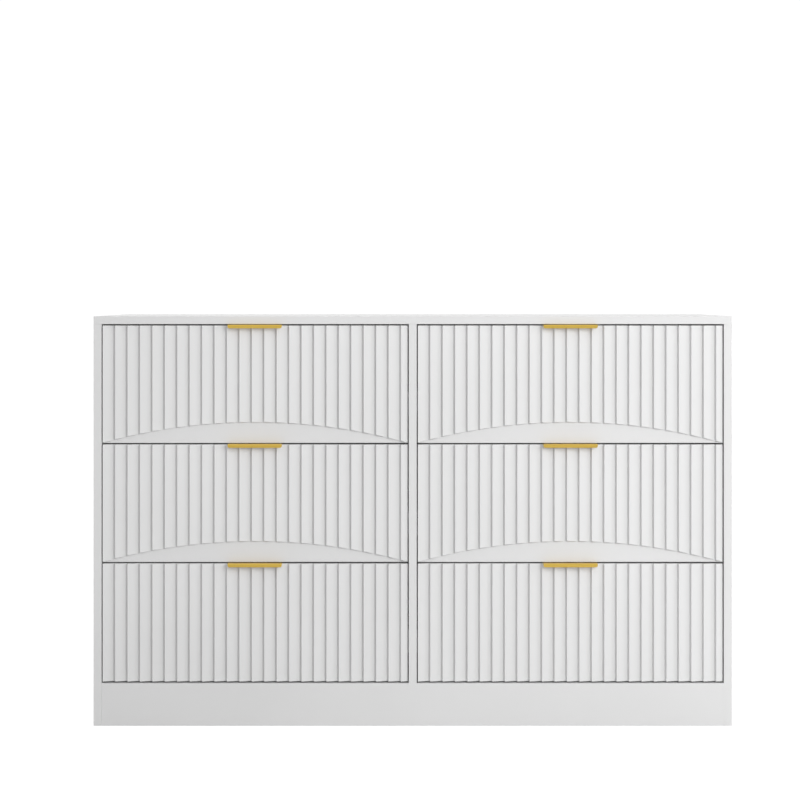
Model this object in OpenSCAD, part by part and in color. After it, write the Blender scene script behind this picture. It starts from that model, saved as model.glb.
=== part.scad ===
// Six-drawer dresser: flat-pack carcass, fluted inset drawer fronts, edge pulls, three-part slides.
// The origin is the centre of the footprint on the floor. The front faces -Y and +Z is up.

/* [Cabinet] */
// Overall width
body_w = 1200; // [1000:10:1400]
// Depth of the cabinet, without the pulls
body_d = 400; // [360:5:500]
// Overall height
body_h = 770; // [700:10:900]
// Thickness of the carcass boards
board_t = 15; // [14:0.5:19]
// Height of the plinth
plinth_h = 80; // [50:5:120]
// How far the back panels are set in from the rear edges
back_inset = 20; // [18:1:30]
// Thickness of the back panels
back_t = 3; // [2.5:0.5:5]
// How far the rear plinth board is set in from the rear edges
rear_plinth_inset = 45; // [30:5:90]

/* [Drawer fronts] */
// Gap above each front
gap_above = 2.5; // [2:0.5:4]
// Gap under the lowest fronts
gap_below = 3; // [2:0.5:5]
// Gap at each side of a front
gap_side = 2; // [1.5:0.5:3]
// Thickness of a front behind its slats
front_base_t = 12; // [10:0.5:16]
// Height of the proud left edge of each slat
slat_relief = 6; // [3:0.5:8]
// Distance from one slat to the next
slat_pitch = 23.37; // [18:0.01:40]
// How far the foot of a slat's steep edge stands out from its crest
slat_draft = 1.5; // [0.5:0.1:2.5]
// Height of the arch at the bottom of the upper fronts
arch_rise = 39; // [15:1:70]

/* [Pulls] */
// Length of a pull
pull_w = 101.5; // [60:0.5:200]
// Thickness of the pull's sheet
pull_t = 1.2; // [1:0.1:1.5]
// How far the pull stands out from the proud edges of the slats
pull_reach = 9; // [7:0.5:20]
// Height of the turned-down lip, with the sheet's thickness
pull_lip_h = 6.7; // [6:0.1:15]
// Radius of the lip's lower corners
pull_corner_r = 3.5; // [1:0.5:5]
// Height of the fixing flange behind the front
pull_flange_h = 20; // [12:1:24]

/* [Drawer boxes] */
// Thickness of the sides and the back
box_board_t = 12; // [10:0.5:15]
// Height of the sides
box_h = 150; // [110:5:155]
// Height of the box above the lower edge of its front
box_lift = 28; // [20:1:34]
// Thickness of the drawer bottom
box_bottom_t = 3; // [2.5:0.5:5]
// Height of the drawer bottom above the lower edge of the sides
box_bottom_lift = 10; // [8:1:15]
// Clearance behind the box when it is shut
box_rear_gap = 11; // [6:1:20]

/* [Slides] */
// Space that a slide takes between the cabinet and the drawer box
slide_t = 12.7; // [12.7:0.1:14]
// Height of the cabinet member
slide_h = 45; // [42:0.5:46]
// Thickness of the slide steel
steel_t = 1.2; // [1:0.1:1.3]
// Height of the slide's centre line above the lower edge of the box
slide_lift = 45; // [40:1:60]

/* [Fittings] */
// Diameter of a cam lock
cam_d = 15; // [12:0.5:15]
// Depth of a cam lock
cam_h = 11; // [9:0.5:11]
// Distance from a board's end to the centre of its cam locks
cam_setback = 34; // [24:1:34]
// Width of a wall bracket
bracket_w = 30; // [20:1:60]
// Height of a wall bracket
bracket_h = 32; // [26:1:50]
// Thickness of a wall bracket
bracket_t = 2; // [1.5:0.5:3]
// Diameter of the hole in a wall bracket
bracket_hole_d = 6; // [4:0.5:10]

/* [Hidden] */
COLUMNS = ["left", "right"];
ROWS = ["top", "middle", "bottom"];
DRAWER_PIECES = ["front", "pull", "left_side", "right_side", "back", "bottom", "slide_members"];

$fn = 48;
eps = 1;              // how far a cut runs past a face
white = [0.93, 0.93, 0.92];
box_white = [0.86, 0.86, 0.84];
gold = [0.83, 0.66, 0.30];
zinc = [0.72, 0.74, 0.76];

// Planes of the cabinet: the pulls reach further forward than the front edges
front_y = -(body_d + pull_reach) / 2 + pull_reach;
rear_y = front_y + body_d;
back_y = rear_y - back_inset - back_t;
side_x = body_w / 2;
inner_x = side_x - board_t;
top_z = body_h - board_t;
half_board = board_t / 2;

// Grooves that hold the back panels
groove_d = 6;
groove_gap = 0.2;
back_grip = 5;
back_drop = 10;

// Drawer openings and fronts
opening_w = inner_x - half_board;
opening_h = top_z - plinth_h;
front_w = opening_w - 2 * gap_side;
front_h = (opening_h - gap_below - 3 * gap_above) / 3;
front_t = front_base_t + slat_relief;
arch_r = (pow(front_w / 2, 2) + pow(arch_rise, 2)) / (2 * arch_rise);
slat_count = ceil(front_w / slat_pitch);

// Drawer boxes
box_w = opening_w - 2 * slide_t;
box_front_y = front_y + front_t;
box_l = back_y - box_rear_gap - box_front_y;
box_rear_y = box_front_y + box_l;
box_groove_d = 5;
box_groove_gap = 0.2;

// Slides: the cabinet member holds the middle member, which holds the drawer member
middle_h = slide_h - 10;
inner_h = slide_h - 19.4;
cabinet_lip = slide_t - 2.2;
middle_web = 2.6;
middle_lip = slide_t - 1.6;
inner_lip = 4.8;
slide_l = box_l;

// Middle of a column, lower edge of a front, lower edge of a drawer box
function column_x(c) = (c == "left" ? -1 : 1) * (opening_w + board_t) / 2;
function row_up(r) = r == "top" ? 2 : r == "middle" ? 1 : 0;
function front_z(r) = plinth_h + gap_below + row_up(r) * (front_h + gap_above);
function box_z(r) = front_z(r) + box_lift;
function slide_z(r) = box_z(r) + slide_lift;

// Cam locks: the board each is let into, the centre of its face and the turn that faces it outward
cam_bore_gap = 0.1;
cam_front_y = front_y + 60;
cam_rear_y = back_y - 60;
cam_middle_y = (cam_front_y + cam_rear_y) / 2;
face_down = [180, 0, 0];
face_right = [0, 90, 0];
face_left = [0, -90, 0];
face_back = [-90, 0, 0];
bottom_z = plinth_h - board_t;
cam_top_z = top_z - cam_setback;
cam_end_x = inner_x - cam_setback;
rear_plinth_y = rear_y - rear_plinth_inset;
CAMS = concat(
  [for (s = [-1, 1], y = [cam_front_y, cam_middle_y, cam_rear_y])
    ["bottom_panel", [s * cam_end_x, y, bottom_z], face_down]],
  [for (y = [cam_front_y, cam_rear_y]) ["left_side_panel", [-inner_x, y, cam_top_z], face_right]],
  [for (y = [cam_front_y, cam_rear_y]) ["right_side_panel", [inner_x, y, cam_top_z], face_left]],
  [for (y = [cam_front_y, cam_rear_y]) ["centre_divider", [-half_board, y, cam_top_z], face_left]],
  [for (s = [-1, 1]) ["front_plinth", [s * cam_end_x, front_y + board_t, bottom_z / 2], face_back]],
  [for (s = [-1, 1]) ["rear_plinth", [s * cam_end_x, rear_plinth_y, bottom_z / 2], face_back]]
);

// A box from its lowest corner to its highest corner
module block(low, high) {
  translate(low) cube(high - low);
}

// ---- Fittings ----

module cam_bores(board) {
  for (spot = CAMS) {
    if (spot[0] == board) {
      translate(spot[1]) rotate(spot[2]) translate([0, 0, -cam_h - cam_bore_gap])
        cylinder(d = cam_d + 2 * cam_bore_gap, h = cam_h + cam_bore_gap + eps);
    }
  }
}

module cam_lock() {
  slot_l = cam_d * 0.6;
  slot_w = 1.6;
  slot_d = 3;
  difference() {
    translate([0, 0, -cam_h]) cylinder(d = cam_d, h = cam_h);
    for (turn = [45, 135]) {
      rotate(turn) translate([-slot_l / 2, -slot_w / 2, -slot_d]) cube([slot_l, slot_w, slot_d + eps]);
    }
  }
}

module cam_locks() {
  color(zinc) for (spot = CAMS) {
    translate(spot[1]) rotate(spot[2]) cam_lock();
  }
}

// An L of sheet steel under the top panel's overhang, with a hole for the wall strap's screw
module wall_bracket(x) {
  left = x - bracket_w / 2;
  depth = back_inset - 2;
  hole_z = top_z - bracket_h + 12;
  difference() {
    union() {
      block([left, rear_y - depth, top_z - bracket_t], [left + bracket_w, rear_y, top_z]);
      block([left, rear_y - bracket_t, top_z - bracket_h], [left + bracket_w, rear_y, top_z]);
    }
    translate([x, rear_y + eps, hole_z]) rotate([90, 0, 0])
      cylinder(d = bracket_hole_d, h = bracket_t + 2 * eps);
  }
}

module wall_brackets() {
  color(zinc) for (s = [-1, 1]) {
    wall_bracket(s * body_w / 3);
  }
}

// ---- Carcass ----

module top_panel() {
  groove_x = side_x - board_t + groove_d;
  color(white) difference() {
    block([-side_x, front_y, top_z], [side_x, rear_y, body_h]);
    block(
      [-groove_x, back_y - groove_gap, top_z - eps],
      [groove_x, back_y + back_t + groove_gap, top_z + groove_d]
    );
  }
}

// Side s is -1 for the left panel and 1 for the right panel
module side_panel(s, name) {
  outer = s * side_x;
  inner = s * inner_x;
  groove = s * (inner_x + groove_d);
  past = s * (inner_x - eps);
  color(white) difference() {
    block([min(outer, inner), front_y, 0], [max(outer, inner), rear_y, top_z]);
    block(
      [min(groove, past), back_y - groove_gap, -eps],
      [max(groove, past), back_y + back_t + groove_gap, top_z + eps]
    );
    cam_bores(name);
  }
}

module left_side_panel() {
  side_panel(-1, "left_side_panel");
}

module right_side_panel() {
  side_panel(1, "right_side_panel");
}

module centre_divider() {
  color(white) difference() {
    block([-half_board, front_y, plinth_h], [half_board, back_y, top_z]);
    cam_bores("centre_divider");
  }
}

module bottom_panel() {
  color(white) difference() {
    block([-inner_x, front_y + board_t, bottom_z], [inner_x, back_y, plinth_h]);
    cam_bores("bottom_panel");
  }
}

module front_plinth() {
  color(white) difference() {
    block([-inner_x, front_y, 0], [inner_x, front_y + board_t, plinth_h]);
    cam_bores("front_plinth");
  }
}

module rear_plinth() {
  color(white) difference() {
    block([-inner_x, rear_plinth_y - board_t, 0], [inner_x, rear_plinth_y, bottom_z]);
    cam_bores("rear_plinth");
  }
}

// The two back panels meet behind the divider
module back_panel(s) {
  seam = s * 0.25;
  outer = s * (inner_x + back_grip);
  color(box_white) block(
    [min(seam, outer), back_y, bottom_z - back_drop],
    [max(seam, outer), back_y + back_t, top_z + back_grip]
  );
}

module left_back_panel() {
  back_panel(-1);
}

module right_back_panel() {
  back_panel(1);
}

// ---- Drawer pieces ----

// Crest and foot of slat i, seen from above: it slopes from its proud left edge to the base,
// and the next slat's steep edge rises from there. The last slat is cut off by the front's end.
function slat_points(i) =
  let (
    crest = i * slat_pitch,
    foot = crest + slat_pitch - slat_draft,
    cut = min(foot, front_w)
  )
  [[crest, -slat_relief], [cut, -slat_relief * (foot - cut) / (foot - crest)]];

// Outline of a front seen from above, with the slats along its forward side
module front_outline() {
  last_foot = slat_count * slat_pitch - slat_draft;
  polygon(concat(
    [[front_w, front_base_t], [0, front_base_t]],
    [for (i = [0 : slat_count - 1], p = slat_points(i)) p],
    last_foot < front_w ? [[front_w, 0]] : []
  ));
}

// What the arch removes in front of the base, widening towards the crests by the slats' draft
module arch_cut() {
  past = slat_draft * eps / slat_relief;
  rotate([90, 0, 0])
    cylinder(r1 = arch_r, r2 = arch_r + slat_draft + past, h = slat_relief + eps, $fn = 720);
}

module drawer_front(c, r) {
  x = column_x(c) - front_w / 2;
  base_y = front_y + slat_relief;
  groove_z = box_z(r) + box_bottom_lift;
  groove_half = box_w / 2 - box_board_t;
  color(white) difference() {
    translate([x, base_y, front_z(r)]) linear_extrude(front_h) front_outline();
    if (r != "bottom") {
      translate([column_x(c), base_y, front_z(r) + arch_rise - arch_r]) arch_cut();
    }
    block(
      [column_x(c) - groove_half, box_front_y - box_groove_d, groove_z],
      [column_x(c) + groove_half, box_front_y + eps, groove_z + box_bottom_t + box_groove_gap]
    );
  }
}

// Lip of the pull seen from the front, with its lower corners rounded
module lip_outline() {
  translate([-pull_w / 2, pull_corner_r]) square([pull_w, pull_lip_h - pull_corner_r]);
  translate([-pull_w / 2 + pull_corner_r, 0]) square([pull_w - 2 * pull_corner_r, pull_lip_h]);
  for (s = [-1, 1]) {
    translate([s * (pull_w / 2 - pull_corner_r), pull_corner_r]) circle(r = pull_corner_r);
  }
}

module drawer_pull(c, r) {
  z = front_z(r) + front_h;
  lip_y = front_y - pull_reach;
  left = column_x(c) - pull_w / 2;
  right = column_x(c) + pull_w / 2;
  color(gold) union() {
    block([left, lip_y, z], [right, box_front_y + pull_t, z + pull_t]);
    block([left, box_front_y, z - pull_flange_h], [right, box_front_y + pull_t, z + pull_t]);
    translate([column_x(c), lip_y + pull_t, z + pull_t - pull_lip_h]) rotate([90, 0, 0])
      linear_extrude(pull_t) lip_outline();
  }
}

// Side s is -1 for the left side of the box and 1 for the right side
module drawer_side(c, r, s) {
  outer = column_x(c) + s * box_w / 2;
  inner = outer - s * box_board_t;
  groove = inner + s * box_groove_d;
  past = inner - s * eps;
  groove_z = box_z(r) + box_bottom_lift;
  color(box_white) difference() {
    block(
      [min(outer, inner), box_front_y, box_z(r)],
      [max(outer, inner), box_rear_y, box_z(r) + box_h]
    );
    block(
      [min(groove, past), box_front_y - eps, groove_z],
      [max(groove, past), box_rear_y + eps, groove_z + box_bottom_t + box_groove_gap]
    );
  }
}

module drawer_back(c, r) {
  half = box_w / 2 - box_board_t;
  low_z = box_z(r) + box_bottom_lift + box_bottom_t;
  color(box_white) block(
    [column_x(c) - half, box_rear_y - box_board_t, low_z],
    [column_x(c) + half, box_rear_y, box_z(r) + box_h]
  );
}

// The bottom sits in grooves in the front and the sides and runs out under the back.
// Its side tongues stop at the front, whose own groove is only as long as the box is wide inside.
module drawer_bottom(c, r) {
  tongue = box_groove_d - 0.5;
  half = box_w / 2 - box_board_t;
  low_z = box_z(r) + box_bottom_lift;
  color(box_white) union() {
    block(
      [column_x(c) - half - tongue, box_front_y, low_z],
      [column_x(c) + half + tongue, box_rear_y, low_z + box_bottom_t]
    );
    block(
      [column_x(c) - half, box_front_y - tongue, low_z],
      [column_x(c) + half, box_front_y + eps, low_z + box_bottom_t]
    );
  }
}

// ---- Slides ----

// A channel along Y: a web from x0 to x1 and two flanges that run from the web to x = lip
module channel(x0, x1, lip, h, y0, y1) {
  low = min(x0, x1, lip);
  high = max(x0, x1, lip);
  block([x0, y0, -h / 2], [x1, y1, h / 2]);
  block([low, y0, h / 2 - steel_t], [high, y1, h / 2]);
  block([low, y0, -h / 2], [high, y1, -h / 2 + steel_t]);
}

// Puts a slide member against the cabinet wall at side s of a column, facing the drawer
module at_wall(c, r, s) {
  wall_x = column_x(c) + s * opening_w / 2;
  translate([wall_x, 0, slide_z(r)]) mirror([s == 1 ? 1 : 0, 0, 0]) children();
}

module cabinet_slide_members() {
  color(zinc) for (c = COLUMNS, r = ROWS, s = [-1, 1]) {
    at_wall(c, r, s)
      channel(0, steel_t, cabinet_lip, slide_h, box_front_y + 1, box_front_y + 1 + slide_l);
  }
}

module slide_middles(c, r) {
  color(zinc) for (s = [-1, 1]) {
    at_wall(c, r, s) channel(
      middle_web, middle_web + steel_t, middle_lip, middle_h,
      box_front_y + 2, box_front_y + slide_l
    );
  }
}

module drawer_slide_members(c, r) {
  color(zinc) for (s = [-1, 1]) {
    at_wall(c, r, s) channel(
      slide_t - steel_t, slide_t, inner_lip, inner_h,
      box_front_y + 3, box_front_y + slide_l - 1
    );
  }
}

// ---- Output ----

top_panel();
left_side_panel();
right_side_panel();
centre_divider();
bottom_panel();
front_plinth();
rear_plinth();
left_back_panel();
right_back_panel();
cabinet_slide_members();
cam_locks();
wall_brackets();
for (c = COLUMNS, r = ROWS) {
  drawer = str(c, "_", r, "_drawer_");
  drawer_front(c, r);
  drawer_pull(c, r);
  drawer_side(c, r, -1);
  drawer_side(c, r, 1);
  drawer_back(c, r);
  drawer_bottom(c, r);
  drawer_slide_members(c, r);
  slide_middles(c, r);
}
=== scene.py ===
import math

import bmesh
import bpy
from mathutils import Matrix, Vector


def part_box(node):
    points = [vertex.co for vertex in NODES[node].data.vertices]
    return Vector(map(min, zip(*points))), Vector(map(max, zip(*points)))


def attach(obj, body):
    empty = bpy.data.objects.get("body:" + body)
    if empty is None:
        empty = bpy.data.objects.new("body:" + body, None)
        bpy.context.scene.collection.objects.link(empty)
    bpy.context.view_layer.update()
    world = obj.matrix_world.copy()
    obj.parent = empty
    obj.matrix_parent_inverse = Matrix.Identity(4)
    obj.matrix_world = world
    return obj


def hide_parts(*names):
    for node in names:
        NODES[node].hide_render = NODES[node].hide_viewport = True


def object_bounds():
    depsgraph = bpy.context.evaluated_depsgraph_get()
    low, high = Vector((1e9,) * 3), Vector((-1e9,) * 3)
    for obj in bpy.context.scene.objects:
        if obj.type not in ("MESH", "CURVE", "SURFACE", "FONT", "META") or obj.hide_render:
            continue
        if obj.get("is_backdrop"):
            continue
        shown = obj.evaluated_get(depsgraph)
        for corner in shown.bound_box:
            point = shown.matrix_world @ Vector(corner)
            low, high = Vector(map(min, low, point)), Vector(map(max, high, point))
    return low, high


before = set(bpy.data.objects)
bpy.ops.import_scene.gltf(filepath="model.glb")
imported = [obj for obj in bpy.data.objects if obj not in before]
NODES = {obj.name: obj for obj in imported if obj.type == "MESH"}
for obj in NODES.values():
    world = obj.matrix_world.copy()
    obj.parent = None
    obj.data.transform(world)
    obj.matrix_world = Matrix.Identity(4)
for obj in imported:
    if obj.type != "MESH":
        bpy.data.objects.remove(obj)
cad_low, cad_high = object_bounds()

# A dresser with six fluted drawers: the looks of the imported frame.
# Shapes are drawn in millimetres; MM turns them into the frame's metres.

COLUMNS = ("left", "right")
ROWS = ("top", "middle", "bottom")
DRAWERS = [f"{c}_{r}_drawer" for c in COLUMNS for r in ROWS]
MM = 0.001


# ---- Materials ----

class Nodes:
    """A node tree, with short calls for the nodes that are added to it."""

    # The Mix node has its colour sockets at these places
    COLOUR_A, COLOUR_B, COLOUR_OUT = 6, 7, 2

    def __init__(self, tree):
        self.tree = tree

    def node(self, kind, sockets=None, **settings):
        """A new node with these settings, and these values on its input sockets."""
        made = self.tree.nodes.new(kind)
        for name, value in settings.items():
            setattr(made, name, value)
        for socket, value in (sockets or {}).items():
            made.inputs[socket].default_value = value
        return made

    def link(self, source, target):
        self.tree.links.new(source, target)

    def coordinates(self, stretch):
        """Object coordinates in metres, multiplied by stretch."""
        place = self.node("ShaderNodeTexCoord")
        mapping = self.node("ShaderNodeMapping", {"Scale": stretch})
        self.link(place.outputs["Object"], mapping.inputs["Vector"])
        return mapping.outputs["Vector"]

    def noise(self, scale, stretch=(1, 1, 1), detail=3.0, roughness=0.5, distortion=0.0):
        """Noise with about `scale` features to the metre."""
        made = self.node("ShaderNodeTexNoise", {
            "Scale": scale, "Detail": detail, "Roughness": roughness, "Distortion": distortion})
        self.link(self.coordinates(stretch), made.inputs["Vector"])
        return made.outputs["Fac"]

    def spread(self, fac, low, high, start=0.3, end=0.7):
        """fac from start..end becomes low..high."""
        made = self.node("ShaderNodeMapRange", {
            "From Min": start, "From Max": end, "To Min": low, "To Max": high})
        self.link(fac, made.inputs["Value"])
        return made.outputs["Result"]

    def lean(self, vector, axis, low, high, start, end):
        """low..high, as the part of vector that lies along axis goes from start to end."""
        dot = self.node("ShaderNodeVectorMath", {1: axis}, operation="DOT_PRODUCT")
        self.link(vector, dot.inputs[0])
        return self.spread(dot.outputs["Value"], low, high, start, end)

    def blend(self, fac, low, high):
        """A colour between low and high; each is a colour or another output."""
        made = self.node("ShaderNodeMix", data_type="RGBA")
        self.link(fac, made.inputs["Factor"])
        for place, value in ((self.COLOUR_A, low), (self.COLOUR_B, high)):
            if isinstance(value, tuple):
                made.inputs[place].default_value = (*value, 1)
            else:
                self.link(value, made.inputs[place])
        return made.outputs[self.COLOUR_OUT]

    def bump(self, fac, strength, distance, under=None):
        """A bumped normal, on top of the normal `under` where there is one."""
        made = self.node("ShaderNodeBump", {"Strength": strength, "Distance": distance})
        self.link(fac, made.inputs["Height"])
        if under is not None:
            self.link(under, made.inputs["Normal"])
        return made.outputs["Normal"]

    def mix_shaders(self, fac, first, second):
        mixed = self.node("ShaderNodeMixShader")
        for socket, output in zip(mixed.inputs, (fac, first, second)):
            self.link(output, socket)
        return mixed.outputs[0]

    def camera_rays(self):
        """1 for what the camera sees directly, 0 for light that comes by way of other surfaces."""
        return self.node("ShaderNodeLightPath").outputs["Is Camera Ray"]


class Look(Nodes):
    """A Principled material."""

    def __init__(self, name, **values):
        self.material = bpy.data.materials.new(name)
        self.material.use_nodes = True
        super().__init__(self.material.node_tree)
        self.shader = self.tree.nodes["Principled BSDF"]
        for socket, value in values.items():
            self.shader.inputs[socket.replace("_", " ")].default_value = value

    def feed(self, socket, output):
        self.link(output, self.shader.inputs[socket])


def white_lacquer():
    """Satin lacquer: faint orange peel, and a slow drift in tone and gloss."""
    look = Look("white_lacquer", IOR=1.5)
    drift = look.spread(look.noise(2.3, detail=2), 0, 1)
    look.feed("Base Color", look.blend(drift, (0.665, 0.665, 0.665), (0.695, 0.695, 0.695)))
    look.feed("Roughness", look.spread(look.noise(14, detail=4), 0.46, 0.56))
    peel = look.bump(look.noise(420, detail=2), 0.10, 0.1 * MM)
    look.feed("Normal", look.bump(look.noise(60, detail=1), 0.06, 0.3 * MM, peel))
    return look.material


def drawer_board():
    """White melamine with the fine pearl embossing of drawer sides."""
    look = Look("drawer_board", IOR=1.5)
    drift = look.spread(look.noise(5, detail=3), 0, 1)
    grain = look.noise(900, (1, 0.25, 1), detail=2)
    tone = look.blend(drift, (0.74, 0.74, 0.725), (0.78, 0.78, 0.765))
    look.feed("Base Color", look.blend(look.spread(grain, 0, 0.25), tone, (0.66, 0.66, 0.645)))
    look.feed("Roughness", look.spread(grain, 0.44, 0.58))
    look.feed("Normal", look.bump(grain, 0.25, 0.08 * MM))
    return look.material


def thin_board(name, rear):
    """Hardboard with a white printed face; the face towards `rear` is bare fibre."""
    look = Look(name, IOR=1.48)
    normal = look.node("ShaderNodeTexCoord").outputs["Normal"]
    bare = look.lean(normal, rear, 0, 1, 0.5, 0.6)
    fibre = look.noise(260, detail=8, roughness=0.7, distortion=0.6)
    cloud = look.noise(9, detail=4)
    brown = look.blend(look.spread(fibre, 0, 1), (0.24, 0.145, 0.075), (0.42, 0.275, 0.155))
    brown = look.blend(look.spread(cloud, 0, 0.35), brown, (0.36, 0.24, 0.14))
    white = look.blend(look.spread(cloud, 0, 1), (0.72, 0.72, 0.705), (0.76, 0.76, 0.745))
    look.feed("Base Color", look.blend(bare, white, brown))
    look.feed("Roughness", look.spread(bare, 0.45, 0.85, 0, 1))
    look.feed("Normal", look.bump(fibre, 0.35, 0.12 * MM))
    return look.material


def brushed_gold():
    """Gold anodised sheet brushed along its length."""
    look = Look("gold_pull", Metallic=1.0)
    brush = look.noise(1, (14, 2600, 2600), detail=3, roughness=0.6)
    cloud = look.noise(35, detail=3)
    tone = look.blend(look.spread(brush, 0, 1), (0.82, 0.55, 0.105), (0.98, 0.68, 0.145))
    look.feed("Base Color", look.blend(look.spread(cloud, 0, 0.3), tone, (0.90, 0.63, 0.14)))
    look.feed("Roughness", look.spread(brush, 0.26, 0.42))
    look.feed("Normal", look.bump(brush, 0.12, 0.03 * MM))
    return look.material


def zinc_steel():
    """Bright zinc plate over rolled steel: fine rolling lines and a cloudy passivation."""
    look = Look("zinc_steel", Metallic=1.0)
    lines = look.noise(1, (2200, 18, 2200), detail=3, roughness=0.6)
    cloud = look.noise(28, detail=5, roughness=0.6, distortion=0.4)
    tone = look.blend(look.spread(cloud, 0, 1), (0.60, 0.62, 0.65), (0.76, 0.77, 0.78))
    look.feed("Base Color", look.blend(look.spread(lines, 0, 0.25), tone, (0.55, 0.56, 0.58)))
    look.feed("Roughness", look.spread(cloud, 0.24, 0.38))
    look.feed("Normal", look.bump(lines, 0.10, 0.03 * MM))
    return look.material


def grained(name, grain, tones, gloss, relief=None, **values):
    """A material with one grain, given as noise settings, in its tone, gloss and height."""
    look = Look(name, **values)
    fine = look.noise(**grain)
    look.feed("Base Color", look.blend(look.spread(fine, 0, 1), *tones))
    look.feed("Roughness", look.spread(fine, *gloss))
    if relief:
        look.feed("Normal", look.bump(fine, *relief))
    return look.material


LACQUER = white_lacquer()
BOARD = drawer_board()
BACK_BOARD = thin_board("back_board", (0, 1, 0))
BOTTOM_BOARD = thin_board("bottom_board", (0, 0, -1))
GOLD = brushed_gold()
ZINC = zinc_steel()
# Plain die cast zinc with a grainy skin
CAST = grained("cast_zinc", {"scale": 1500, "detail": 4, "roughness": 0.7},
               ((0.42, 0.43, 0.44), (0.60, 0.61, 0.62)), (0.42, 0.60), (0.3, 0.05 * MM),
               Metallic=1.0)
# Moulded black nylon of the slides' levers
BLACK = grained("black_plastic", {"scale": 1800, "detail": 2},
                ((0.014, 0.014, 0.015), (0.028, 0.028, 0.030)), (0.38, 0.55), (0.25, 0.05 * MM),
                IOR=1.5)
# Moulded white caps, a shade warmer than the board
WHITE_PLASTIC = grained("white_plastic", {"scale": 1200, "detail": 2},
                        ((0.70, 0.70, 0.675), (0.74, 0.74, 0.715)), (0.30, 0.42),
                        (0.12, 0.04 * MM), IOR=1.49, Subsurface_Weight=0.05)
# Polished bearing steel with a trace of grease
BALL = grained("ball_steel", {"scale": 700, "detail": 3},
               ((0.58, 0.59, 0.60), (0.72, 0.73, 0.74)), (0.08, 0.22), Metallic=1.0)


# ---- Meshes ----

def soften(obj, width, angle=30):
    """Rounds the edges sharper than `angle` by `width`, and keeps the flat faces flat."""
    bevel = obj.modifiers.new("round", "BEVEL")
    bevel.width = width
    bevel.segments = 2
    bevel.limit_method = "ANGLE"
    bevel.angle_limit = math.radians(angle)
    bevel.miter_outer = "MITER_ARC"
    keep_flat(obj)


def keep_flat(obj):
    """Shades the flat faces flat, up to the edges that are rounded or sharp."""
    obj.modifiers.new("normals", "WEIGHTED_NORMAL").keep_sharp = True


def dress(node, material, width):
    """Gives a CAD node its material and softens its edges, without touching its mesh."""
    obj = NODES[node]
    obj.data.materials.clear()
    obj.data.materials.append(material)
    weld = obj.modifiers.new("weld", "WELD")
    weld.merge_threshold = 0.001 * MM
    flat = obj.modifiers.new("flat", "DECIMATE")
    flat.decimate_type = "DISSOLVE"
    flat.angle_limit = math.radians(1)
    soften(obj, width)


def finish_mesh(name, bm, material, body, smooth=35):
    """Turns a bmesh in metres into a piece that rides on a body."""
    bmesh.ops.recalc_face_normals(bm, faces=bm.faces)
    mesh = bpy.data.meshes.new(name)
    bm.to_mesh(mesh)
    bm.free()
    mesh.materials.append(material)
    mesh.polygons.foreach_set("use_smooth", [True] * len(mesh.polygons))
    mesh.set_sharp_from_angle(angle=math.radians(smooth))
    obj = bpy.data.objects.new(name, mesh)
    bpy.context.scene.collection.objects.link(obj)
    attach(obj, body)
    return obj


def around(ring):
    """Each point of a closed ring with the next one."""
    return zip(ring, ring[1:] + ring[:1])


def wall(bm, near, far):
    """Faces between two rings with the same number of points."""
    for (a, b), (c, d) in zip(around(near), around(far)):
        bm.faces.new((a, b, d, c))


def prism(bm, near, far):
    """A closed solid between two outlines with the same number of points."""
    rims = [[bm.verts.new(point) for point in outline] for outline in (near, far)]
    wall(bm, *rims)
    for rim in rims:
        bm.faces.new(rim)


def rounded(points, radii, steps=4):
    """The polyline `points` with its inner corners turned into arcs of the given radii."""
    if not isinstance(radii, (list, tuple)):
        radii = [radii] * len(points)
    path = [Vector(points[0])]
    for i in range(1, len(points) - 1):
        corner, before, after = (Vector(points[k]) for k in (i, i - 1, i + 1))
        a, b = (before - corner).normalized(), (after - corner).normalized()
        half = math.acos(max(-1, min(1, a.dot(b)))) / 2
        nearly_straight = half > math.radians(89)
        if radii[i] <= 0 or nearly_straight:
            path.append(corner)
            continue
        reach = radii[i] / math.tan(half)
        centre = corner + (a + b).normalized() * (radii[i] / math.sin(half))
        start, end = corner + a * reach - centre, corner + b * reach - centre
        sweep = math.pi - 2 * half
        for k in range(steps + 1):
            t = k / steps
            spot = start * math.sin((1 - t) * sweep) + end * math.sin(t * sweep)
            path.append(centre + spot / math.sin(sweep))
    path.append(Vector(points[-1]))
    return path


def offset(path, distance):
    """An open 2D path moved sideways, to its left for a positive distance."""
    moved = []
    for i, p in enumerate(path):
        a = (path[i] - path[i - 1]).normalized() if i else None
        b = (path[i + 1] - path[i]).normalized() if i + 1 < len(path) else None
        a, b = a or b, b or a
        along = (a + b).normalized()
        side = Vector((-along.y, along.x))
        moved.append(p + side * (distance / max(0.3, along.dot(a))))
    return moved


# ---- Fluted drawer fronts ----

SLAT_PITCH, SLAT_DRAFT, SLAT_RELIEF, FRONT_BASE = 23.37, 1.5, 6.0, 12.0
ARCH_RISE = 39.0
CREST_R, FOOT_R, EDGE_R = 0.6, 0.7, 0.45
# Segments of the rounded side edges, and of the top and bottom edges
SIDE_STEPS, RIM_STEPS = 4, 3
# A slope that is wider than this gets a column in its middle
WIDE_SLOPE = 15
# Least height of a slat, least gap between rows, and length of face beyond a slat's drafted end
LEAST_SLAT, ROW_GAP, END_RUN = 0.03, 0.004, 2.0
# Part of a slat's drafted end that one fillet may take
FILLET_SHARE = 0.45


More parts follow.
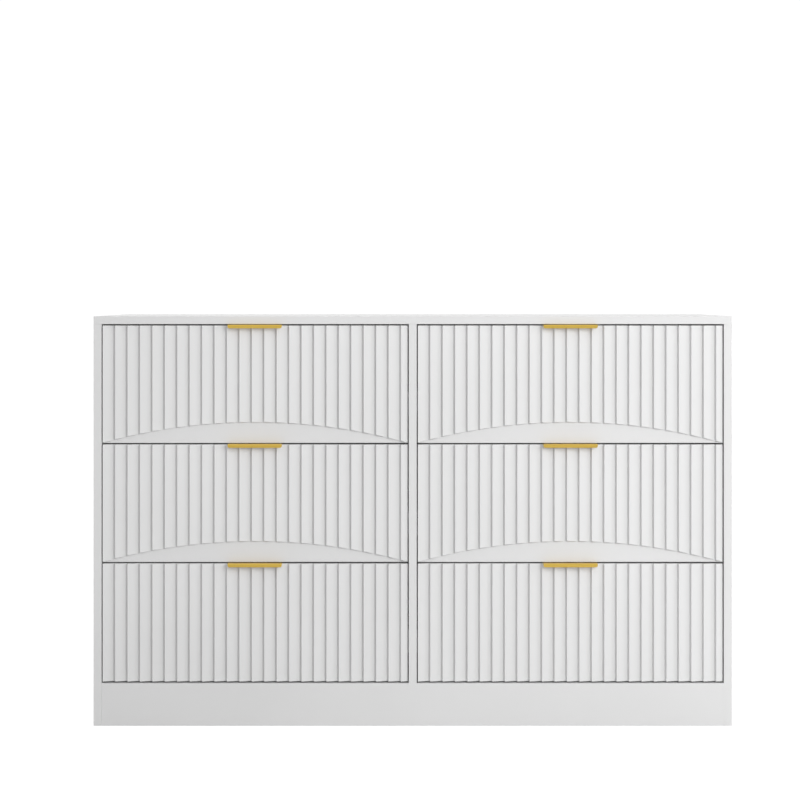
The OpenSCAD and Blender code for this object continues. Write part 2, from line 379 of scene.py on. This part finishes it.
def slat_profile(width):
    """Columns (x, height) across the front: rounded crests and feet, heights over the base."""
    corners, radii = [], []
    crest = 0.0
    while crest < width:
        corners.append((crest, SLAT_RELIEF))
        radii.append(CREST_R)
        foot = crest + SLAT_PITCH - SLAT_DRAFT
        if foot >= width:
            slope = SLAT_RELIEF / (foot - crest)
            corners.append((width, slope * (foot - width)))
            radii.append(0)
            break
        corners.append((foot, 0.0))
        radii.append(FOOT_R)
        crest += SLAT_PITCH
    path = rounded(corners, radii)
    columns = []
    for a, b in zip(path, path[1:]):
        columns.append((a.x, a.y))
        if b.x - a.x > WIDE_SLOPE:
            columns.append(((a.x + b.x) / 2, (a.y + b.y) / 2))
    columns.append((path[-1].x, path[-1].y))
    return columns


def with_round_ends(columns, width):
    """Adds columns along both side edges, and says how far each lies below the surface."""
    def height_at(x):
        for (x0, h0), (x1, h1) in zip(columns, columns[1:]):
            if x0 < x1 and x <= x1:
                return h0 + (h1 - h0) * (x - x0) / (x1 - x0)
        return columns[-1][1]

    def drop(x):
        edge = min(x, width - x)
        if edge >= EDGE_R:
            return 0.0
        return EDGE_R - math.sqrt(max(0, EDGE_R ** 2 - (EDGE_R - edge) ** 2))

    near = [EDGE_R * (1 - math.cos(math.pi / 2 * k / SIDE_STEPS)) for k in range(SIDE_STEPS + 1)]
    made = ([(x, height_at(x)) for x in near]
            + [(x, h) for x, h in columns if EDGE_R < x < width - EDGE_R]
            + [(width - x, height_at(width - x)) for x in reversed(near)])
    return [(x, h, drop(x)) for x, h in made]


def end_path(height):
    """(distance above the arch line, height) up the drafted end of a slat of this height."""
    top = SLAT_DRAFT * height / SLAT_RELIEF
    turn = math.tan(math.atan2(SLAT_RELIEF, SLAT_DRAFT) / 2)
    room = FILLET_SHARE * math.hypot(top, height) / turn
    points = [(-END_RUN, 0.0), (0.0, 0.0), (top, height), (top + END_RUN, height)]
    return rounded(points, [0, min(FOOT_R, room), min(CREST_R, room), 0])[1:-1]


def height_on(path, distance):
    """Height of a slat's end at this distance above the arch line."""
    if distance <= path[0].x:
        return path[0].y
    for a, b in zip(path, path[1:]):
        if distance <= b.x:
            return a.y + (b.y - a.y) * (distance - a.x) / max(1e-9, b.x - a.x)
    return path[-1].y


def face_rows(width, tall, arched):
    """Rows of (x, z, height over the base) up the front, with the board's rear at both ends."""
    arch_r = ((width / 2) ** 2 + ARCH_RISE ** 2) / (2 * ARCH_RISE)
    columns = []
    for x, slat, drop in with_round_ends(slat_profile(width), width):
        slat = max(slat, LEAST_SLAT)
        if arched:
            line = ARCH_RISE - arch_r + math.sqrt(arch_r ** 2 - (x - width / 2) ** 2)
            path = end_path(slat)
            stack = [(EDGE_R, height_on(path, EDGE_R - line))]
            for k, p in enumerate(path):
                z = max(line + p.x, EDGE_R + ROW_GAP * (k + 1))
                stack.append((z, height_on(path, z - line)))
        else:
            stack = [(EDGE_R, slat)]
        stack.append((tall - EDGE_R, slat))
        columns.append([(x, z, h - drop) for z, h in stack])
    rows = [list(row) for row in zip(*columns)]
    for row in rows:
        row.insert(0, (0.0, row[0][1], -FRONT_BASE))
        row.append((width, row[-1][1], -FRONT_BASE))
    return rows


def rim_rows(row, edge, up):
    """Rows that round the face over into the front's top (up 1) or bottom (up -1), outwards."""
    flat = [Vector((x, h)) for x, _, h in row]
    rows = []
    for k in range(1, RIM_STEPS + 1):
        a = math.pi / 2 * k / RIM_STEPS
        moved = offset(flat, -(EDGE_R * (1 - math.cos(a))))
        moved[0].y = moved[-1].y = -FRONT_BASE
        rows.append([(m.x, edge + up * EDGE_R * math.sin(a), m.y) for m in moved])
    return rows


def fluted_front(drawer, arched):
    """The front's sawtooth slats; where it is arched, they end on the arch line."""
    low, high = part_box(f"{drawer}_front")
    width, tall = (high.x - low.x) / MM, (high.z - low.z) / MM
    base_y = low.y / MM + SLAT_RELIEF
    rows = face_rows(width, tall, arched)
    rows = (rim_rows(rows[0], EDGE_R, -1)[::-1] + rows
            + rim_rows(rows[-1], tall - EDGE_R, 1))
    bm = bmesh.new()
    grid = [[bm.verts.new((low.x + x * MM, (base_y - h) * MM, low.z + z * MM)) for x, z, h in row]
            for row in rows]
    for lower, upper in zip(grid, grid[1:]):
        for i in range(len(lower) - 1):
            bm.faces.new((lower[i], lower[i + 1], upper[i + 1], upper[i]))
    caps = [bm.faces.new(grid[0]), bm.faces.new(grid[-1])]
    bm.faces.new([row[0] for row in grid] + [row[-1] for row in reversed(grid)])
    bm.normal_update()
    # Left whole, the caps would be cut into many triangles with no area
    bmesh.ops.triangulate(bm, faces=caps, ngon_method="BEAUTY")
    front = finish_mesh(f"{drawer}_fluted_front", bm, LACQUER, drawer)
    keep_flat(front)
    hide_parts(f"{drawer}_front")


for drawer in DRAWERS:
    fluted_front(drawer, "bottom" not in drawer)


# ---- Edge pulls ----

PULL_SHEET, PULL_BEND, PULL_EDGE_R = 1.2, 1.1, 0.22
LIP_DEPTH, LIP_R, FLANGE_R = 6.7, 3.5, 3.0
CORNER_STEPS = 8


def bent_pull(drawer):
    """Sheet bent over the front's top edge, with a lip in front and a screw flange behind."""
    low, high = (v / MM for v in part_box(f"{drawer}_pull"))
    centre, half = (low.x + high.x) / 2, (high.x - low.x) / 2
    lip_low = high.z - LIP_DEPTH
    y_lip, y_flange = low.y + PULL_SHEET / 2, high.y - PULL_SHEET / 2
    z_top = high.z - PULL_SHEET / 2
    corners = [(y_lip, lip_low), (y_lip, z_top), (y_flange, z_top), (y_flange, low.z)]
    path = rounded(corners, PULL_BEND, steps=6)
    # More points where the free corners of the lip and the flange are rounded
    steps = range(1, CORNER_STEPS + 1)
    depths = [LIP_R * (1 - math.cos(math.pi / 2 * k / CORNER_STEPS)) for k in steps]
    for r, end, step in ((LIP_R, 0, 1), (FLANGE_R, -1, -1)):
        start, toward = path[end], (path[end + step] - path[end]).normalized()
        cuts = [start + toward * (d * r / LIP_R) for d in depths]
        if end == 0:
            path[1:1] = cuts
        else:
            path[-1:-1] = reversed(cuts)

    def half_width(p):
        for r, at, y in ((LIP_R, lip_low, y_lip), (FLANGE_R, low.z, y_flange)):
            up = p.y - at
            if abs(p.x - y) < 0.01 and up < r:
                return half - r + math.sqrt(max(0, r * r - (r - up) ** 2))
        return half

    bm = bmesh.new()
    rings = []
    for mid, o, i in zip(path, offset(path, PULL_SHEET / 2), offset(path, -PULL_SHEET / 2)):
        w = half_width(mid)
        rings.append([bm.verts.new(Vector((centre + side * w, p.x, p.y)) * MM)
                      for p, side in ((o, -1), (o, 1), (i, 1), (i, -1))])
    for a, b in zip(rings, rings[1:]):
        wall(bm, a, b)
    bm.faces.new(rings[0])
    bm.faces.new(rings[-1])
    pull = finish_mesh(f"{drawer}_bent_pull", bm, GOLD, drawer, smooth=40)
    soften(pull, PULL_EDGE_R * MM, angle=50)
    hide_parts(f"{drawer}_pull")


for drawer in DRAWERS:
    bent_pull(drawer)


# ---- Shapes that repeat ----

def template(name, bm):
    """A mesh in millimetres that `stamp` copies into pieces."""
    bmesh.ops.recalc_face_normals(bm, faces=bm.faces)
    mesh = bpy.data.meshes.new(name)
    bm.to_mesh(mesh)
    bm.free()
    return mesh


def stamp(bm, mesh, matrix):
    """Adds a copy of a template to bm, in metres; matrix places it in millimetres."""
    copy = mesh.copy()
    copy.transform(Matrix.Diagonal((MM, MM, MM, 1)) @ matrix)
    bm.from_mesh(copy)
    bpy.data.meshes.remove(copy)


def lathe(bm, profile, sides):
    """Rings round Z through (radius, height); the last radius may be 0. Returns the last ring."""
    ring = None
    for radius, height in profile:
        if radius == 0:
            tip = bm.verts.new((0, 0, height))
            for a, b in around(ring):
                bm.faces.new((a, b, tip))
            return None
        turns = [2 * math.pi * k / sides for k in range(sides)]
        fresh = [bm.verts.new((radius * math.cos(a), radius * math.sin(a), height)) for a in turns]
        if ring is None:
            bm.faces.new(fresh[::-1])
        else:
            wall(bm, ring, fresh)
        ring = fresh
    return ring


def lathed(name, profile, sides):
    """A template turned round Z."""
    bm = bmesh.new()
    lathe(bm, profile, sides)
    return template(name, bm)


def pan_head(radius, height):
    """A screw head with a cross recess, standing on z = 0."""
    bm = bmesh.new()
    rim = lathe(bm, [(radius, 0), (radius, 0.35 * height), (0.94 * radius, 0.62 * height),
                     (0.80 * radius, 0.86 * height), (0.60 * radius, height)], 24)
    # One arm of the cross, up to the corner it shares with the next
    arm, half = 0.46 * radius, 0.12 * radius
    quarter = [(arm, -half), (arm, half), (half, half)]
    outline = []
    for c, s in ((1, 0), (0, 1), (-1, 0), (0, -1)):
        outline += [(x * c - y * s, x * s + y * c) for x, y in quarter]
    top = [bm.verts.new((x, y, height)) for x, y in outline]
    floor = [bm.verts.new((x * 0.7, y * 0.7, 0.35 * height)) for x, y in outline]
    edges = [bm.edges.get(ends) or bm.edges.new(ends)
             for ring in (rim, top) for ends in around(ring)]
    bmesh.ops.triangle_fill(bm, use_beauty=True, edges=edges)
    wall(bm, top, floor)
    bm.faces.new(floor)
    return template("pan_head", bm)


def facing(direction, place):
    """Turns +Z to the direction and moves the origin to place."""
    turn = Vector(direction).to_track_quat("Z", "Y").to_matrix().to_4x4()
    return Matrix.Translation(place) @ turn


SCREW = pan_head(3.6, 1.9)
FLAT_SCREW = pan_head(3.4, 1.0)


def screws(name, body, spots, mesh=SCREW):
    """One piece with a screw head at each (place, direction)."""
    bm = bmesh.new()
    for place, direction in spots:
        stamp(bm, mesh, facing(direction, place))
    return finish_mesh(name, bm, ZINC, body, smooth=30)


# ---- Slides ----

# A slide is drawn in the frame of its wall: u out of the wall, y along it and v up.
# Each member starts its inset behind the slide's front, and ends its inset before the rear.
SLIDE_L, SHEET = 350.0, 1.2
CABINET_IN, MIDDLE_IN, INNER_IN = 1, 2, 3
# From the wall to the near side of the middle member
MIDDLE_OFF = 2.6
# Heights of the slots in each member's web, and (middle, length) of each; round ones take screws
CABINET_HIGH, MIDDLE_HIGH, INNER_HIGH = 6, 7, 5.5
CABINET_SLOTS = ((22, 14), (54, 6), (118, 14), (182, 6), (246, 14), (326, 6))
MIDDLE_SLOTS = ((16, 7), (60, 22), (130, 22), (216, 22), (286, 22), (330, 7))
INNER_SLOTS = ((14, 5.5), (46, 12), (96, 5.5), (172, 12), (240, 5.5), (300, 12), (330, 5.5))
# The slots are cut with solids that reach past every web, from this u to that
CUT_FROM, CUT_TO = -3.0, 16.0


def sheet_channel(path, inset, slots, high):
    """A bent sheet along Y, with slots of one height through its web."""
    length = SLIDE_L - 2 * inset
    outline = offset(path, SHEET / 2) + offset(path, -SHEET / 2)[::-1]
    bm = bmesh.new()
    prism(bm, *[[(p.x, y, p.y) for p in outline] for y in (0.0, length)])
    body = bpy.data.objects.new("channel", template("channel", bm))
    bm = bmesh.new()
    for middle, long in slots:
        spots = []
        for sy in (1, -1):
            centre = middle + sy * (long - high) / 2
            # A round hole has both ends at one centre, so its ends leave out a shared point each
            for k in range(9 if long > high else 8):
                a = math.radians(22.5 * k - 90 * sy)
                spots.append((centre + high / 2 * math.cos(a), high / 2 * math.sin(a)))
        prism(bm, *[[(u, y, v) for y, v in spots] for u in (CUT_FROM, CUT_TO)])
    cutter = bpy.data.objects.new("cutter", template("cutter", bm))
    for obj in (body, cutter):
        bpy.context.scene.collection.objects.link(obj)
    cut = body.modifiers.new("cut", "BOOLEAN")
    cut.operation, cut.solver, cut.object = "DIFFERENCE", "EXACT", cutter
    depsgraph = bpy.context.evaluated_depsgraph_get()
    made = bpy.data.meshes.new_from_object(body.evaluated_get(depsgraph))
    for obj in (body, cutter):
        bpy.data.objects.remove(obj)
    return made


CABINET = sheet_channel(
    rounded([(9.9, 20.3), (9.9, 21.9), (0.6, 21.9), (0.6, -21.9), (9.9, -21.9), (9.9, -20.3)],
            [0, 0.9, 1.6, 1.6, 0.9, 0]),
    CABINET_IN, CABINET_SLOTS, CABINET_HIGH)
MIDDLE = sheet_channel(
    rounded([(10.5, 16.9), (3.2, 16.9), (3.2, 9.6), (4.5, 8.0),
             (4.5, -8.0), (3.2, -9.6), (3.2, -16.9), (10.5, -16.9)],
            [0, 1.6, 1.2, 1.2, 1.2, 1.2, 1.6, 0]),
    MIDDLE_IN, MIDDLE_SLOTS, MIDDLE_HIGH)
INNER = sheet_channel(
    rounded([(5.4, 12.2), (12.1, 12.2), (12.1, -12.2), (5.4, -12.2)], [0, 1.6, 1.6, 0]),
    INNER_IN, INNER_SLOTS, INNER_HIGH)
# The side of the drawer member's web that lies on the drawer
INNER_FACE = 12.7


def slide_frames(c, r):
    """For each wall of a drawer's place: a matrix from (u, y, v) to the row frame, in mm."""
    low, high = (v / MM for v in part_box(f"{c}_{r}_slide_middles"))
    up = (low.z + high.z) / 2
    start = low.y - MIDDLE_IN
    return [Matrix(((out, 0, 0, side), (0, 1, 0, start), (0, 0, 1, up), (0, 0, 0, 1)))
            for side, out in ((low.x - MIDDLE_OFF, 1), (high.x + MIDDLE_OFF, -1))]


def along(y):
    """A move along the slide."""
    return Matrix.Translation((0, y, 0))


def bar(bm, low, high):
    """A plain strip between two corners, used for ball cages."""
    spots = [bm.verts.new((x, y, z)) for z in (low[2], high[2]) for y in (low[1], high[1])
             for x in (low[0], high[0])]
    for face in ((0, 1, 3, 2), (4, 6, 7, 5), (0, 4, 5, 1),
                 (2, 3, 7, 6), (0, 2, 6, 4), (1, 5, 7, 3)):
        bm.faces.new([spots[k] for k in face])


bm = bmesh.new()
bmesh.ops.create_icosphere(bm, subdivisions=2, radius=1.0)
ROUND = template("ball", bm)
# Rows of balls, outside and inside the middle member: distance from the slide's middle line, ball
# radius, distance from the wall, and where the row starts
BALL_ROWS = ((19.4, 1.7, 6.8, 180.0), (14.55, 1.55, 7.7, 8.0))
BALL_COUNT, BALL_PITCH = 11, 14.0
CAGE_U, CAGE_V = 2.1, 0.25
bm = bmesh.new()
for v, radius, u, start in BALL_ROWS:
    for side in (-1, 1):
        bar(bm, (u - CAGE_U, start, side * v - CAGE_V),
            (u + CAGE_U, start + BALL_PITCH * BALL_COUNT, side * v + CAGE_V))
CAGES = template("cages", bm)


# The two sides of the lever, its place along the slide and the radius of its edges
LEVER_SIDES, LEVER_AT, LEVER_EDGE_R = (9.5, 11.3), 130, 0.3


def lever():
    """The release lever: a slim curved bar, thickest over its rivet, as (y, v, half its width)."""
    spine = [(-26, -5.5, 1.6), (-18, -5.2, 1.9), (-8, -2.6, 2.4), (-2, -0.4, 3.4), (3, 0, 3.8),
             (8, 0.6, 3.2), (16, 3.4, 2.0), (24, 5.4, 1.6), (27, 5.6, 0.9)]
    outline = [(y, v + w) for y, v, w in spine] + [(y, v - w) for y, v, w in reversed(spine)]
    bm = bmesh.new()
    prism(bm, *[[(u, y, v) for y, v in outline] for u in LEVER_SIDES])
    return template("lever", bm)


LEVER = lever()


def sheet_piece(name, mesh, frames, body, *replaced):
    """A piece of zinc sheet with a copy of the template in each frame."""
    bm = bmesh.new()
    for frame_matrix in frames:
        stamp(bm, mesh, frame_matrix)
    piece = finish_mesh(name, bm, ZINC, body, smooth=40)
    keep_flat(piece)
    if replaced:
        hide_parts(*replaced)


def slide_screws(name, body, frames, slots, high, u, out):
    """Screws in the round holes of a member, on the side of its web at u that faces `out`."""
    screws(name, body, [(m @ Vector((u, y, 0)), m.to_3x3() @ Vector((out, 0, 0)))
                        for m in frames for y, long in slots if long == high], FLAT_SCREW)


slides = {(c, r): slide_frames(c, r) for c in COLUMNS for r in ROWS}
cabinet_frames = [m @ along(CABINET_IN) for pair in slides.values() for m in pair]
sheet_piece("cabinet_slide_channels", CABINET, cabinet_frames, "carcass", "cabinet_slide_members")
slide_screws("cabinet_slide_screws", "carcass", cabinet_frames, CABINET_SLOTS, CABINET_HIGH,
             SHEET, 1)
for (c, r), pair in slides.items():
    drawer, middles = f"{c}_{r}_drawer", f"{c}_{r}_slide_middles"
    middle_frames, inner_frames = ([m @ along(y) for m in pair] for y in (MIDDLE_IN, INNER_IN))
    sheet_piece(f"{middles}_channels", MIDDLE, middle_frames, middles, middles)
    sheet_piece(f"{drawer}_slide_channels", INNER, inner_frames, drawer, f"{drawer}_slide_members")
    slide_screws(f"{drawer}_slide_screws", drawer, inner_frames, INNER_SLOTS, INNER_HIGH,
                 INNER_FACE - SHEET, -1)
    sheet_piece(f"{c}_{r}_ball_cages", CAGES, pair, middles)
    bm = bmesh.new()
    for m in pair:
        for v, radius, u, start in BALL_ROWS:
            for side in (-1, 1):
                for k in range(BALL_COUNT):
                    spot = Matrix.Translation((u, start + BALL_PITCH * (k + 0.5), side * v))
                    stamp(bm, ROUND, m @ spot @ Matrix.Scale(radius, 4))
    finish_mesh(f"{c}_{r}_slide_balls", bm, BALL, middles, smooth=80)
    bm = bmesh.new()
    for m in pair:
        stamp(bm, LEVER, m @ along(LEVER_AT))
    soften(finish_mesh(f"{drawer}_release_levers", bm, BLACK, drawer), LEVER_EDGE_R * MM)


# ---- Small fittings ----

CAP = lathed("cap", [(8.6, 0), (8.6, 0.5), (8.3, 0.85), (7.7, 1.05), (6.9, 1.05), (6.6, 0.8),
                     (4.0, 0.95), (0, 1.0)], 32)
NAIL = lathed("nail", [(3.0, 0), (3.0, 0.3), (2.5, 0.6), (1.5, 0.85), (0, 0.95)], 16)

# Pull screws: from the pull's middle, and over its lower edge
PULL_SCREW_X, PULL_SCREW_Z = 34, 8
# Box screws: before the side's rear, and over its lower edge
BOX_SCREW_Y, BOX_SCREWS_Z = 6, (20, 82, 134)
# Cam lock caps: behind the side's front, and over its lower edge
CAP_Y, CAPS_Z = 33, (36, 118)
# Bracket screws: the bracket's middle from its end, the screws from there, and from rear and top
BRACKET_MIDDLE, BRACKET_SCREW_X, BRACKET_SCREW_Y, BRACKET_SHEET = 15, 8, 10.5, 2
# Nails into the bottom panel: their number, how far they stay from its ends and from the middle
LOW_NAILS, LOW_NAILS_IN, LOW_NAILS_CLEAR = 9, 24, 20
# Pairs of nails into the divider: their number, half the pair's distance, and the room left below
# them and in all
PAIRS, PAIR_X, PAIRS_UP, PAIRS_ROOM = 6, 4.2, 8, 40

for drawer in DRAWERS:
    low, high = (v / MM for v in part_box(f"{drawer}_pull"))
    centre = (low.x + high.x) / 2
    screws(f"{drawer}_pull_screws", drawer,
           [((centre + s * PULL_SCREW_X, high.y, low.z + PULL_SCREW_Z), (0, 1, 0))
            for s in (-1, 1)])
    spots, caps = [], bmesh.new()
    for side, inward in (("left_side", 1), ("right_side", -1)):
        low, high = (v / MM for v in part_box(f"{drawer}_{side}"))
        inner_x, outer_x = (high.x, low.x) if inward > 0 else (low.x, high.x)
        spots += [((outer_x, high.y - BOX_SCREW_Y, low.z + up), (-inward, 0, 0))
                  for up in BOX_SCREWS_Z]
        for up in CAPS_Z:
            stamp(caps, CAP, facing((inward, 0, 0), (inner_x, low.y + CAP_Y, low.z + up)))
    screws(f"{drawer}_box_screws", drawer, spots, FLAT_SCREW)
    finish_mesh(f"{drawer}_cam_caps", caps, WHITE_PLASTIC, drawer, smooth=30)

low, high = (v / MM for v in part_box("wall_brackets"))
screws("bracket_screws", "carcass",
       [((edge + s * (BRACKET_MIDDLE + d), high.y - BRACKET_SCREW_Y, high.z - BRACKET_SHEET),
         (0, 0, -1))
        for edge, s in ((low.x, 1), (high.x, -1)) for d in (-BRACKET_SCREW_X, BRACKET_SCREW_X)])

nails = bmesh.new()
low, high = (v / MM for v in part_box("bottom_panel"))
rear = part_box("left_back_panel")[1].y / MM
mid_z, top = (low.z + high.z) / 2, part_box("top_panel")[0].z / MM
for k in range(LOW_NAILS):
    x = low.x + LOW_NAILS_IN + (high.x - low.x - 2 * LOW_NAILS_IN) * k / (LOW_NAILS - 1)
    if abs(x) > LOW_NAILS_CLEAR:
        stamp(nails, NAIL, facing((0, 1, 0), (x, rear, mid_z)))
for k in range(PAIRS):
    z = mid_z + PAIRS_UP + (top - mid_z - PAIRS_ROOM) * k / (PAIRS - 1)
    for s in (-1, 1):
        stamp(nails, NAIL, facing((0, 1, 0), (s * PAIR_X, rear, z)))
finish_mesh("back_nails", nails, ZINC, "carcass", smooth=30)


# ---- CAD nodes that stay ----

dress("top_panel", LACQUER, 0.6 * MM)
for node in ("left_side_panel", "right_side_panel", "centre_divider", "bottom_panel",
             "front_plinth", "rear_plinth"):
    dress(node, LACQUER, 0.3 * MM)
for node in ("left_back_panel", "right_back_panel"):
    dress(node, BACK_BOARD, 0.2 * MM)
dress("wall_brackets", ZINC, 0.4 * MM)
dress("cam_locks", CAST, 0.3 * MM)
for drawer in DRAWERS:
    for piece in ("left_side", "right_side", "back"):
        dress(f"{drawer}_{piece}", BOARD, 0.4 * MM)
    dress(f"{drawer}_bottom", BOTTOM_BOARD, 0.2 * MM)


# ---- Stage, light and camera ----

# The camera sees the floor mostly as a glow, so that it looks nearly white without lighting the
# dresser from below
FLOOR_GLOW, GLOW_SHARE, FLOOR_SIZE = 1.27, 0.75, 30
BACKDROP = 1.05
FILL_LEFT, FILL_RIGHT, FILL_BEHIND = 0.83, 0.69, 0.66
KEY_POWER, SIDE_POWER = 47, 29
WHITE = (1, 1, 1, 1)

scene = bpy.context.scene
scene.view_settings.view_transform = "Standard"

floor_look = Look("floor", Roughness=0.9, Specular_IOR_Level=0.1)
floor_look.feed("Base Color", floor_look.blend(
    floor_look.spread(floor_look.noise(0.7, detail=2), 0, 1),
    (0.53, 0.53, 0.53), (0.55, 0.55, 0.55)))
glow = floor_look.node("ShaderNodeEmission", {"Strength": FLOOR_GLOW})
share = floor_look.node("ShaderNodeMath", {1: GLOW_SHARE}, operation="MULTIPLY")
floor_look.link(floor_look.camera_rays(), share.inputs[0])
mixed = floor_look.mix_shaders(share.outputs[0], floor_look.shader.outputs[0], glow.outputs[0])
floor_look.link(mixed, floor_look.tree.nodes["Material Output"].inputs["Surface"])
bm = bmesh.new()
bmesh.ops.create_grid(bm, x_segments=8, y_segments=8, size=FLOOR_SIZE)
mesh = bpy.data.meshes.new("floor")
bm.to_mesh(mesh)
bm.free()
mesh.materials.append(floor_look.material)
floor = bpy.data.objects.new("floor", mesh)
scene.collection.objects.link(floor)
floor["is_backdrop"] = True

world = bpy.data.worlds.new("studio")
world.use_nodes = True
sky = Nodes(world.node_tree)
fill = sky.tree.nodes["Background"]
fill.inputs["Color"].default_value = WHITE
# The fill drifts from left to right, and is stronger from behind than from in front
way = sky.node("ShaderNodeTexCoord").outputs["Generated"]
total = sky.node("ShaderNodeMath", operation="ADD")
sky.link(sky.lean(way, (1, 0, 0), FILL_LEFT, FILL_RIGHT, -1, 1), total.inputs[0])
sky.link(sky.lean(way, (0, 1, 0), 0, FILL_BEHIND, 0, 1), total.inputs[1])
sky.link(total.outputs[0], fill.inputs["Strength"])
backdrop = sky.node("ShaderNodeBackground", {"Color": WHITE, "Strength": BACKDROP})
mixed = sky.mix_shaders(sky.camera_rays(), fill.outputs[0], backdrop.outputs[0])
sky.link(mixed, sky.tree.nodes["World Output"].inputs["Surface"])
scene.world = world


def softbox(name, place, aim, size, power):
    """A soft rectangular light that points at aim and doesn't show in reflections."""
    light = bpy.data.lights.new(name, "AREA")
    light.shape = "RECTANGLE"
    light.size, light.size_y = size
    light.energy = power
    obj = bpy.data.objects.new(name, light)
    obj.location = place
    obj.rotation_mode = "QUATERNION"
    obj.rotation_quaternion = (Vector(aim) - Vector(place)).to_track_quat("-Z", "Y")
    obj.visible_glossy = False
    scene.collection.objects.link(obj)


FRONT_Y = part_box("left_side_panel")[0].y
# The key lights the front from its right; the side light only grazes it, which draws the flutes
softbox("key", (1.6, FRONT_Y - 2.5, 1.45), (0.1, FRONT_Y, 0.45), (1.2, 2.0), KEY_POWER)
softbox("side", (4.2, FRONT_Y - 1.5, 1.3), (0, FRONT_Y, 0.4), (1.2, 1.6), SIDE_POWER)

# The camera looks straight at the front, and its shift puts the dresser low in the picture
CAMERA_BACK, CAMERA_UP = 3.4, 0.806
camera = bpy.data.cameras.new("camera")
camera.sensor_width = 36
camera.lens = 81.4
camera.shift_x, camera.shift_y = -0.0159, -0.1287
camera.clip_end = 100
camera_object = bpy.data.objects.new("camera", camera)
camera_object.location = (0, FRONT_Y - CAMERA_BACK, CAMERA_UP)
camera_object.rotation_euler = (math.radians(90), 0, 0)
scene.collection.objects.link(camera_object)
scene.camera = camera_object

low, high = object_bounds()
{"cad": [list(cad_low), list(cad_high)], "visual": [list(low), list(high)]}
